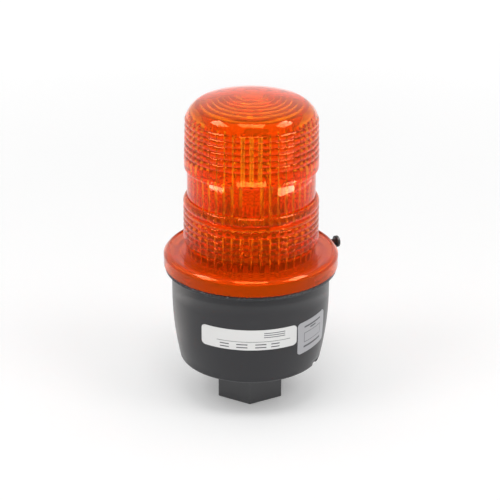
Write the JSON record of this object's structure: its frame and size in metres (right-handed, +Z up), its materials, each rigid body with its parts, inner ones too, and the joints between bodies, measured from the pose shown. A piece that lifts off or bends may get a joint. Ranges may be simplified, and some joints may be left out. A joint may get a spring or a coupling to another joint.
{
  "type": "strobe light",
  "caption": "Pipe-mounted strobe light: ribbed amber dome with a wide flange that twists onto a black pot-shaped base, over a hexagonal threaded hub.",
  "frame": {"origin": "centre of the hub's lower face, at the mouth of the pipe thread", "axes": "+Z up along the lamp's axis, from the hub to the dome; the front with the wide label faces -Y"},
  "size_m": [0.0881, 0.086, 0.1577],
  "materials": {
    "amber_lens": "clear polished amber polycarbonate",
    "black_plastic": "satin moulded plastic",
    "hub_black": "satin moulded plastic",
    "screw_black": "blackened steel",
    "rubber": "soft seal",
    "steel": "zinc-plated steel",
    "brass": "turned brass",
    "board": "coated glass-epoxy board",
    "column_white": "moulded insulating plastic",
    "socket_brown": "moulded phenolic",
    "clear_glass": "clear glass",
    "nickel": "nickel-plated metal",
    "can_sleeve": "shrink sleeve on an aluminium can",
    "ferrite": "pressed ferrite",
    "copper": "enamelled copper wire",
    "coil_resin": "potted coil",
    "film_red": "dipped film capacitor",
    "epoxy_black": "moulded epoxy",
    "aluminium": "plain aluminium sheet",
    "terminal_green": "moulded nylon",
    "disc_blue": "dipped disc",
    "resistor_tan": "lacquered body",
    "label_white": "plain white label",
    "label_silver": "plain silver-grey label"
  },
  "bodies": {
    "base": {"dome_gasket": "rubber", "base_housing": "black_plastic", "pipe_hub": "hub_black", "hub_gasket": "rubber", "hub_locknut": "steel", "circuit_board": "board", "board_screws": "steel", "socket_column": "column_white", "column_screws": "steel", "tube_socket": "socket_brown", "socket_contacts": "brass", "storage_capacitor": "can_sleeve", "transformer_core": "ferrite", "transformer_winding": "copper", "trigger_coil": "coil_resin", "trigger_capacitor": "film_red", "power_transistor": "epoxy_black", "heat_sink": "aluminium", "transistor_screw": "steel", "terminal_block": "terminal_green", "terminal_screws": "steel", "fuse": "clear_glass", "fuse_clips": "nickel", "surge_varistor": "disc_blue", "rectifier_diodes": "epoxy_black", "resistors": "resistor_tan", "front_label": "label_white", "side_label": "label_silver"},
    "dome": {"dome_lens": "amber_lens", "lock_screw_insert": "brass"},
    "lock_screw": {"dome_lock_screw": "screw_black"},
    "plug_in_tube": {"tube_base": "socket_brown", "tube_pins": "brass", "flash_tube": "clear_glass", "tube_end_caps": "nickel", "tube_electrodes": "nickel", "return_rod": "nickel", "trigger_bands": "nickel"}
  },
  "joints": [
    {"name": "dome_turn", "type": "hinge", "parent": "base", "child": "dome", "pos_m": [0, 0, 0.07015], "axis": [0, 0, 1], "range_deg": [0, 30]},
    {"name": "lock_screw_travel", "type": "slide", "parent": "dome", "child": "lock_screw", "axis": [0.9063, 0.4226, 0], "range_m": [0, 0.003]},
    {"name": "flash_tube_pull", "type": "slide", "parent": "base", "child": "plug_in_tube", "axis": [0, 0, 1], "range_m": [0, 0.009]}
  ]
}
